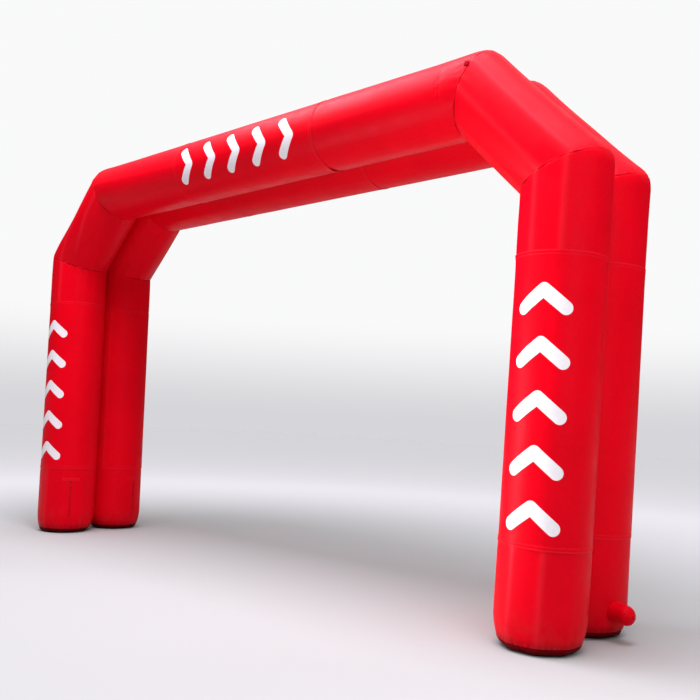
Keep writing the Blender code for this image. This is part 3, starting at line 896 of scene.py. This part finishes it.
# ---------------------------------------------------------------- materials
class Graph:
    """Short names for the nodes of one material."""

    def __init__(self, name):
        self.mat = bpy.data.materials.new(name)
        self.mat.use_nodes = True
        self.tree = self.mat.node_tree
        self.shader = self.tree.nodes["Principled BSDF"]
        self.uv = self.node("ShaderNodeUVMap", uv_map="cloth").outputs["UV"]
        parts = self.node("ShaderNodeSeparateXYZ")
        self.tree.links.new(self.uv, parts.inputs[0])
        self.u, self.v = parts.outputs[0], parts.outputs[1]
        self.place = self.node("ShaderNodeTexCoord").outputs["Object"]
        xyz = self.node("ShaderNodeSeparateXYZ")
        self.tree.links.new(self.place, xyz.inputs[0])
        self.z = xyz.outputs[2]
        self.seam = self.node("ShaderNodeAttribute", attribute_name="seam").outputs["Fac"]

    def node(self, kind, **props):
        n = self.tree.nodes.new(kind)
        for k, v in props.items():
            setattr(n, k, v)
        return n

    def put(self, socket, value):
        if isinstance(value, (int, float)):
            socket.default_value = value
        elif isinstance(value, tuple):
            socket.default_value = value
        else:
            self.tree.links.new(value, socket)

    def math(self, op, a, b=None, c=None, clamp=False):
        n = self.node("ShaderNodeMath", operation=op, use_clamp=clamp)
        for i, x in enumerate((a, b, c)):
            if x is not None:
                self.put(n.inputs[i], x)
        return n.outputs[0]

    def ramp(self, x, lo, hi, out_lo=0.0, out_hi=1.0, soft=True):
        n = self.node("ShaderNodeMapRange", interpolation_type="SMOOTHSTEP" if soft else "LINEAR")
        for key, val in (("Value", x), ("From Min", lo), ("From Max", hi), ("To Min", out_lo),
                         ("To Max", out_hi)):
            self.put(n.inputs[key], val)
        return n.outputs[0]

    def noise(self, scale, detail=3.0, rough=0.5, vector=None, stretch=None):
        n = self.node("ShaderNodeTexNoise")
        n.inputs["Scale"].default_value = scale
        n.inputs["Detail"].default_value = detail
        n.inputs["Roughness"].default_value = rough
        src = vector if vector is not None else self.place
        if stretch is not None:
            m = self.node("ShaderNodeMapping")
            m.inputs["Scale"].default_value = stretch
            self.tree.links.new(src, m.inputs["Vector"])
            src = m.outputs[0]
        self.tree.links.new(src, n.inputs["Vector"])
        return n.outputs["Fac"]

    def mix(self, fac, a, b, blend="MIX"):
        n = self.node("ShaderNodeMix", data_type="RGBA", blend_type=blend)
        self.put(n.inputs[0], fac)
        self.put(n.inputs[6], a)
        self.put(n.inputs[7], b)
        return n.outputs[2]

    def scaled(self, colour, factor):
        """Colour times a grey factor socket."""
        grey = self.node("ShaderNodeCombineColor")
        for i in range(3):
            self.put(grey.inputs[i], factor)
        return self.mix(1.0, colour, grey.outputs[0], "MULTIPLY")

    def line(self, x, at, half):
        """1 within half of the place at, 0 beyond it, with soft sides."""
        gap = self.math("ABSOLUTE", self.math("SUBTRACT", x, at))
        return self.ramp(gap, half * 0.5, half * 1.3, 1.0, 0.0)

    def dashes(self, pitch, share=0.62):
        t = self.math("FRACT", self.math("DIVIDE", self.math("ADD", self.u, self.v), pitch))
        return self.ramp(self.math("ABSOLUTE", self.math("SUBTRACT", t, 0.5)), share / 2.0 - 0.06,
                         share / 2.0 + 0.06, 1.0, 0.0)

    def bump(self, height_mm):
        n = self.node("ShaderNodeBump")
        n.inputs["Strength"].default_value = 1.0
        n.inputs["Distance"].default_value = 0.001
        self.tree.links.new(height_mm, n.inputs["Height"])
        self.tree.links.new(n.outputs[0], self.shader.inputs["Normal"])


def weave(g, pitch, amount):
    """Plain weave: over and under threads, pitch in metres, amount in millimetres."""
    turn_ = TAU / pitch
    a = g.math("SINE", g.math("MULTIPLY", g.u, turn_))
    b = g.math("SINE", g.math("MULTIPLY", g.v, turn_))
    return g.math("MULTIPLY", g.math("MULTIPLY", a, b), amount)


def add(g, *terms):
    total = terms[0]
    for t in terms[1:]:
        total = g.math("ADD", total, t)
    return total


RED = (0.735, 0.0006, 0.0092, 1.0)
RED_PRINT = (0.745, 0.0006, 0.0088, 1.0)
LIGHT_RED = (0.90, 0.075, 0.110, 1.0)
DUST = (0.30, 0.105, 0.080, 1.0)
SPECULAR = 0.048
GLOSS_TINT = (1.0, 0.60, 0.80, 1.0)


def cloth(name, base, rough, kind="tube", motif=None):
    g = Graph(name)
    broad = g.noise(0.9, 3.0, 0.55)
    fine = g.noise(34.0, 3.0, 0.6)
    colour = g.scaled(base, g.ramp(broad, 0.3, 0.7, 0.93, 1.06))
    colour = g.scaled(colour, g.ramp(fine, 0.3, 0.7, 0.975, 1.02))
    # scuffs: a few pale rubbed streaks
    rub = g.noise(3.1, 9.0, 0.72, stretch=(1.0, 1.0, 2.6))
    colour = g.mix(g.ramp(rub, 0.665, 0.74, 0.0, 0.16), colour, LIGHT_RED)
    rough_map = g.ramp(g.noise(5.5, 4.0, 0.6), 0.3, 0.7, rough - 0.045, rough + 0.055)
    crinkle = g.math("MULTIPLY", g.noise(95.0, 4.0, 0.6), 0.055)
    swells = g.math("MULTIPLY", g.noise(17.0, 2.0, 0.5), 0.42)
    slack = g.math("MULTIPLY", g.noise(1.0, 3.0, 0.5, vector=g.uv, stretch=(26.0, 4.5, 1.0)), 0.42)
    height = add(g, weave(g, 0.0015, 0.014), crinkle, swells, slack)
    if kind == "tube":
        # painted highlight: the ridges of bare tube are painted a little lighter, towards LIGHT_RED
        ridge = g.node("ShaderNodeAttribute", attribute_name="ridge").outputs["Fac"]
        colour = g.mix(g.math("MULTIPLY", ridge, 0.100), colour, LIGHT_RED)
        rough_map = g.math("SUBTRACT", rough_map, g.math("MULTIPLY", ridge, 0.05))
        # painted shade: the skin is painted darker within 4 mm of a seam, where the groove falls in shade
        seam_shade = g.ramp(g.seam, 0.0, 0.0040, 0.62, 1.0)
        colour = g.scaled(colour, seam_shade)
        stitch = g.math("MULTIPLY", g.line(g.seam, 0.0130, 0.0008), g.dashes(0.0062))
        colour = g.mix(g.math("MULTIPLY", stitch, 0.35), colour, LIGHT_RED)
        height = add(g, height, g.math("MULTIPLY", stitch, 0.25),
                     g.math("MULTIPLY", g.line(g.seam, 0.0130, 0.0024), -0.22))
        # painted highlight: short pale ticks painted on the puckers just above the base seam; the same mask raises
        # them in the bump
        gathers = g.noise(1.0, 2.0, 0.5, vector=g.uv, stretch=(88.0, 9.0, 1.0))
        pucker_bump_and_highlight = g.math("MULTIPLY", g.ramp(gathers, 0.56, 0.66),
                       g.math("MULTIPLY", g.ramp(g.z, 0.056, 0.064), g.ramp(g.z, 0.070, 0.098, 1.0, 0.0)))
        colour = g.mix(g.math("MULTIPLY", pucker_bump_and_highlight, 0.34), colour, LIGHT_RED)
        height = add(g, height, g.math("MULTIPLY", pucker_bump_and_highlight, 0.9))
        grime = g.math("MULTIPLY", g.ramp(g.z, 0.02, 0.42, 1.0, 0.0),
                       g.ramp(g.noise(7.0, 7.0, 0.65), 0.42, 0.72))
        colour = g.mix(g.math("MULTIPLY", grime, 0.10), colour, DUST)
        rough_map = g.math("ADD", rough_map, g.math("MULTIPLY", grime, 0.16))
        # painted shade: the leg's skin is painted darker towards the foot, from 135 mm down to the base seam
        colour = g.scaled(colour, g.ramp(g.z, 0.056, 0.135, 0.62, 1.0))
    if kind == "base":
        # painted shade: the cap is painted dark all over, darkest towards the ground where it turns under
        underside_shade = g.ramp(g.z, 0.004, 0.062, 0.07, 0.24, soft=False)
        colour = g.scaled(colour, underside_shade)
        # painted shade: darker within 6 mm of the base seam, where the groove falls in shade
        colour = g.scaled(colour, g.ramp(g.seam, 0.0, 0.006, 0.60, 1.0))
        grime = g.ramp(g.noise(9.0, 7.0, 0.68), 0.40, 0.70, 0.05, 0.55)
        colour = g.mix(g.math("MULTIPLY", grime, 0.22), colour, (0.050, 0.022, 0.018, 1.0))
        rough_map = g.math("ADD", rough_map, 0.22)
    if kind in ("banner", "flap"):
        # painted highlight: the cut edge is painted pale; the hem sits a shade lighter, its stitches lighter still
        colour = g.mix(g.ramp(g.seam, 0.0, 0.0026, 0.42, 0.0), colour, LIGHT_RED)
        near, far = (0.0050, 0.0300) if kind == "banner" else (0.0045, 0.0045)
        rows = g.math("MAXIMUM", g.line(g.seam, near, 0.0009), g.line(g.seam, far, 0.0009))
        stitch = g.math("MULTIPLY", rows, g.dashes(0.0055))
        soft = g.math("MAXIMUM", g.line(g.seam, near, 0.0030), g.line(g.seam, far, 0.0034))
        colour = g.mix(g.math("MULTIPLY", soft, 0.045), colour, LIGHT_RED)
        colour = g.mix(g.math("MULTIPLY", stitch, 0.28), colour, LIGHT_RED)
        height = add(g, height, g.math("MULTIPLY", stitch, 0.22),
                     g.math("MULTIPLY", soft, -0.18))
    if motif is not None:
        # five bold rounded chevrons in a row along the tube, printed white
        centre, pitch, reach, slope, stroke = motif
        across = g.math("ABSOLUTE", g.math("SUBTRACT", g.u, centre))
        skew = g.math("ADD", g.v, g.math("MULTIPLY", across, slope))
        index = g.math("ROUND", g.math("DIVIDE", skew, pitch))
        index = g.math("MINIMUM", g.math("MAXIMUM", index, -2.0), 2.0)
        x = g.math("SUBTRACT", g.v, g.math("MULTIPLY", index, pitch))
        # distance to the arm from the nose (0, 0) to (-reach * slope, reach)
        bx, by = -reach * slope, reach
        inv = 1.0 / (bx * bx + by * by)
        along_arm = g.math("ADD", g.math("MULTIPLY", x, bx * inv), g.math("MULTIPLY", across, by * inv))
        along_arm = g.math("MINIMUM", g.math("MAXIMUM", along_arm, 0.0), 1.0)
        px = g.math("SUBTRACT", x, g.math("MULTIPLY", along_arm, bx))
        py = g.math("SUBTRACT", across, g.math("MULTIPLY", along_arm, by))
        far_ = g.math("SQRT", g.math("ADD", g.math("MULTIPLY", px, px), g.math("MULTIPLY", py, py)))
        ink = g.ramp(far_, stroke / 2.0 - 0.0012, stroke / 2.0 + 0.0012, 1.0, 0.0)
        white = g.scaled((0.87, 0.845, 0.855, 1.0), g.ramp(fine, 0.3, 0.7, 0.965, 1.015))
        colour = g.mix(ink, colour, white)
        height = add(g, height, g.math("MULTIPLY", ink, 0.05))
        rough_map = g.math("SUBTRACT", rough_map, g.math("MULTIPLY", ink, 0.04))
    g.tree.links.new(colour, g.shader.inputs["Base Color"])
    g.tree.links.new(rough_map, g.shader.inputs["Roughness"])
    g.shader.inputs["Specular IOR Level"].default_value = SPECULAR
    g.shader.inputs["Specular Tint"].default_value = GLOSS_TINT
    g.bump(height)
    return g.mat


def webbing(name, base, pitch, rough=0.62):
    """Narrow woven tape: ribs across it, paler worn edges."""
    g = Graph(name)
    ribs = g.math("SINE", g.math("MULTIPLY", g.v, TAU / pitch))
    cords = g.math("SINE", g.math("MULTIPLY", g.u, TAU / (pitch * 1.3)))
    colour = g.scaled(base, g.ramp(g.math("MULTIPLY", ribs, cords), -1.0, 1.0, 0.72, 1.18))
    colour = g.scaled(colour, g.ramp(g.noise(60.0, 4.0, 0.6), 0.3, 0.7, 0.88, 1.10))
    colour = g.mix(g.ramp(g.seam, 0.0, 0.0014, 0.12, 0.0), colour, LIGHT_RED)
    rows = g.line(g.seam, 0.0030, 0.0007)
    stitch = g.math("MULTIPLY", rows, g.dashes(0.0040))
    colour = g.mix(g.math("MULTIPLY", stitch, 0.3), colour, LIGHT_RED)
    g.tree.links.new(colour, g.shader.inputs["Base Color"])
    g.tree.links.new(g.ramp(g.noise(40.0), 0.3, 0.7, rough - 0.06, rough + 0.06),
                     g.shader.inputs["Roughness"])
    g.shader.inputs["Specular IOR Level"].default_value = 0.02
    g.shader.inputs["Specular Tint"].default_value = GLOSS_TINT
    g.bump(add(g, g.math("MULTIPLY", g.math("MULTIPLY", ribs, cords), 0.10),
               g.math("MULTIPLY", g.noise(220.0, 2.0), 0.08), g.math("MULTIPLY", stitch, 0.2)))
    return g.mat


def coil_plastic(name):
    g = Graph(name)
    colour = g.scaled((0.46, 0.002, 0.009, 1.0), g.ramp(g.noise(300.0, 3.0), 0.3, 0.7, 0.85, 1.12))
    g.tree.links.new(colour, g.shader.inputs["Base Color"])
    g.tree.links.new(g.ramp(g.noise(150.0), 0.3, 0.7, 0.34, 0.46), g.shader.inputs["Roughness"])
    g.shader.inputs["Specular IOR Level"].default_value = 0.12
    g.bump(g.math("MULTIPLY", g.noise(900.0, 2.0), 0.02))
    return g.mat


tube_mat = cloth("tube_cloth", RED, 0.40)
base_mat = cloth("base_cloth", RED, 0.46, kind="base")
plain_banner = cloth("banner_cloth", RED_PRINT, 0.43, kind="banner")
flap_mat = cloth("flap_cloth", RED_PRINT, 0.46, kind="flap")
tape_mat = webbing("zip_tape_weave", (0.64, 0.001, 0.009, 1.0), 0.0016)
tab_mat = webbing("tab_webbing", (0.255, 0.0006, 0.004, 1.0), 0.0028)
coil_mat = coil_plastic("zip_coil")

for key, obj in pieces.items():
    if key.startswith(("leg", "shoulder", "beam")) or key == "inflation_sleeve":
        obj.data.materials.append(tube_mat)
    elif key.startswith("base"):
        obj.data.materials.append(base_mat)
    elif key.startswith("flap"):
        obj.data.materials.append(flap_mat)
    elif key.endswith("coil"):
        obj.data.materials.append(coil_mat)
    elif key.startswith("zip"):
        obj.data.materials.append(tape_mat)
    elif key == "tie_off_tab":
        obj.data.materials.append(tab_mat)
for name, base, mid, centre, motif in BANNERS:
    if motif:
        spec = (math.radians(centre) * TUBE_R, 0.405, 0.172, 0.80, 0.104)
        pieces[name].data.materials.append(
            cloth("print_" + base, RED_PRINT, 0.43, kind="banner", motif=spec))
    else:
        pieces[name].data.materials.append(plain_banner)

# ---------------------------------------------------------------- floor, light, camera
size = 60.0
floor = new_mesh("floor", np.array([(-size, -size, -0.0006), (size, -size, -0.0006),
                                    (size, size, -0.0006), (-size, size, -0.0006)]),
                 [(0, 1, 2, 3)], smooth_faces=False)
mat = bpy.data.materials.new("pale_floor")
mat.use_nodes = True
paint = mat.node_tree.nodes["Principled BSDF"].inputs["Base Color"]
where = mat.node_tree.nodes.new("ShaderNodeTexCoord")
span = mat.node_tree.nodes.new("ShaderNodeVectorMath")
span.operation = "LENGTH"
fade = mat.node_tree.nodes.new("ShaderNodeMapRange")
fade.interpolation_type = "SMOOTHSTEP"
fade.inputs["From Min"].default_value, fade.inputs["From Max"].default_value = 3.2, 11.5
tone = mat.node_tree.nodes.new("ShaderNodeMix")
tone.data_type = "RGBA"
tone.inputs[6].default_value = (0.455, 0.480, 0.455, 1.0)
tone.inputs[7].default_value = (0.94, 0.945, 0.93, 1.0)
mat.node_tree.links.new(where.outputs["Object"], span.inputs[0])
mat.node_tree.links.new(span.outputs["Value"], fade.inputs["Value"])
mat.node_tree.links.new(fade.outputs[0], tone.inputs[0])
mat.node_tree.links.new(tone.outputs[2], paint)
mat.node_tree.nodes["Principled BSDF"].inputs["Roughness"].default_value = 0.9
mat.node_tree.nodes["Principled BSDF"].inputs["Specular IOR Level"].default_value = 0.1
floor.data.materials.append(mat)

world = bpy.data.worlds.new("soft_sky")
bpy.context.scene.world = world
world.use_nodes = True
tree = world.node_tree
back = tree.nodes["Background"]
coords = tree.nodes.new("ShaderNodeTexCoord")
split = tree.nodes.new("ShaderNodeSeparateXYZ")
tree.links.new(coords.outputs["Generated"], split.inputs[0])
blend = tree.nodes.new("ShaderNodeMapRange")
blend.interpolation_type = "SMOOTHSTEP"
blend.inputs["From Min"].default_value = 0.30
blend.inputs["From Max"].default_value = 0.95
tree.links.new(split.outputs[2], blend.inputs["Value"])
sky = tree.nodes.new("ShaderNodeMix")
sky.data_type = "RGBA"
sky.inputs[6].default_value = (0.03, 0.03, 0.03, 1.0)
sky.inputs[7].default_value = (1.22, 1.20, 1.28, 1.0)
tree.links.new(blend.outputs[0], sky.inputs[0])
seen = tree.nodes.new("ShaderNodeMix")
seen.data_type = "RGBA"
haze = tree.nodes.new("ShaderNodeMapRange")
haze.interpolation_type = "SMOOTHSTEP"
haze.inputs["From Min"].default_value, haze.inputs["From Max"].default_value = 0.0, 0.13
tree.links.new(split.outputs[2], haze.inputs["Value"])
plain = tree.nodes.new("ShaderNodeMix")
plain.data_type = "RGBA"
plain.inputs[6].default_value = (0.675, 0.670, 0.700, 1.0)
plain.inputs[7].default_value = (0.95, 0.95, 0.955, 1.0)
tree.links.new(haze.outputs[0], plain.inputs[0])
tree.links.new(plain.outputs[2], seen.inputs[7])
tree.links.new(tree.nodes.new("ShaderNodeLightPath").outputs["Is Camera Ray"], seen.inputs[0])
tree.links.new(sky.outputs[2], seen.inputs[6])
tree.links.new(seen.outputs[2], back.inputs["Color"])
back.inputs["Strength"].default_value = 1.0


def soft_light(name, place, target, width, height, radiance, colour, spread=180.0):
    data = bpy.data.lights.new(name, "AREA")
    data.shape = "RECTANGLE"
    data.size, data.size_y = width, height
    data.energy = radiance * math.pi * width * height
    data.color = colour
    data.spread = math.radians(spread)
    lamp = bpy.data.objects.new(name, data)
    lamp.location = place
    lamp.rotation_euler = (Vector(target) - Vector(place)).to_track_quat("-Z", "Y").to_euler()
    lamp.visible_camera = False
    bpy.context.scene.collection.objects.link(lamp)
    return lamp


soft_light("overhead", (1.1, -1.8, 8.8), (1.1, -0.5, 3.0), 10.6, 4.0, 9.2, (0.93, 0.87, 1.0))
soft_light("gateway_panel", (-1.0, -3.8, 1.1), (3.3, -0.4, 2.0), 3.0, 3.0, 2.5, (1.0, 0.95, 0.98), 56.0)
soft_light("side_panel", (8.8, -3.2, 3.4), (3.4, -0.4, 2.2), 3.0, 4.0, 0.50, (1.0, 0.96, 0.98), 70.0)

cam = bpy.data.cameras.new("camera")
cam.lens, cam.sensor_width = 40.942, 36.0
cam.clip_end = 500.0
eye = bpy.data.objects.new("camera", cam)
bpy.context.scene.collection.objects.link(eye)
turned = Matrix(((0.75068, 0.02313, 0.66026), (0.65895, -0.09805, -0.74577), (0.04748, 0.99491, -0.08885)))
eye.matrix_world = Matrix.Translation((6.4855, -6.0550, 1.6367)) @ turned.to_4x4()
bpy.context.scene.camera = eye
bpy.context.scene.view_settings.view_transform = "Standard"

bpy.context.view_layer.update()
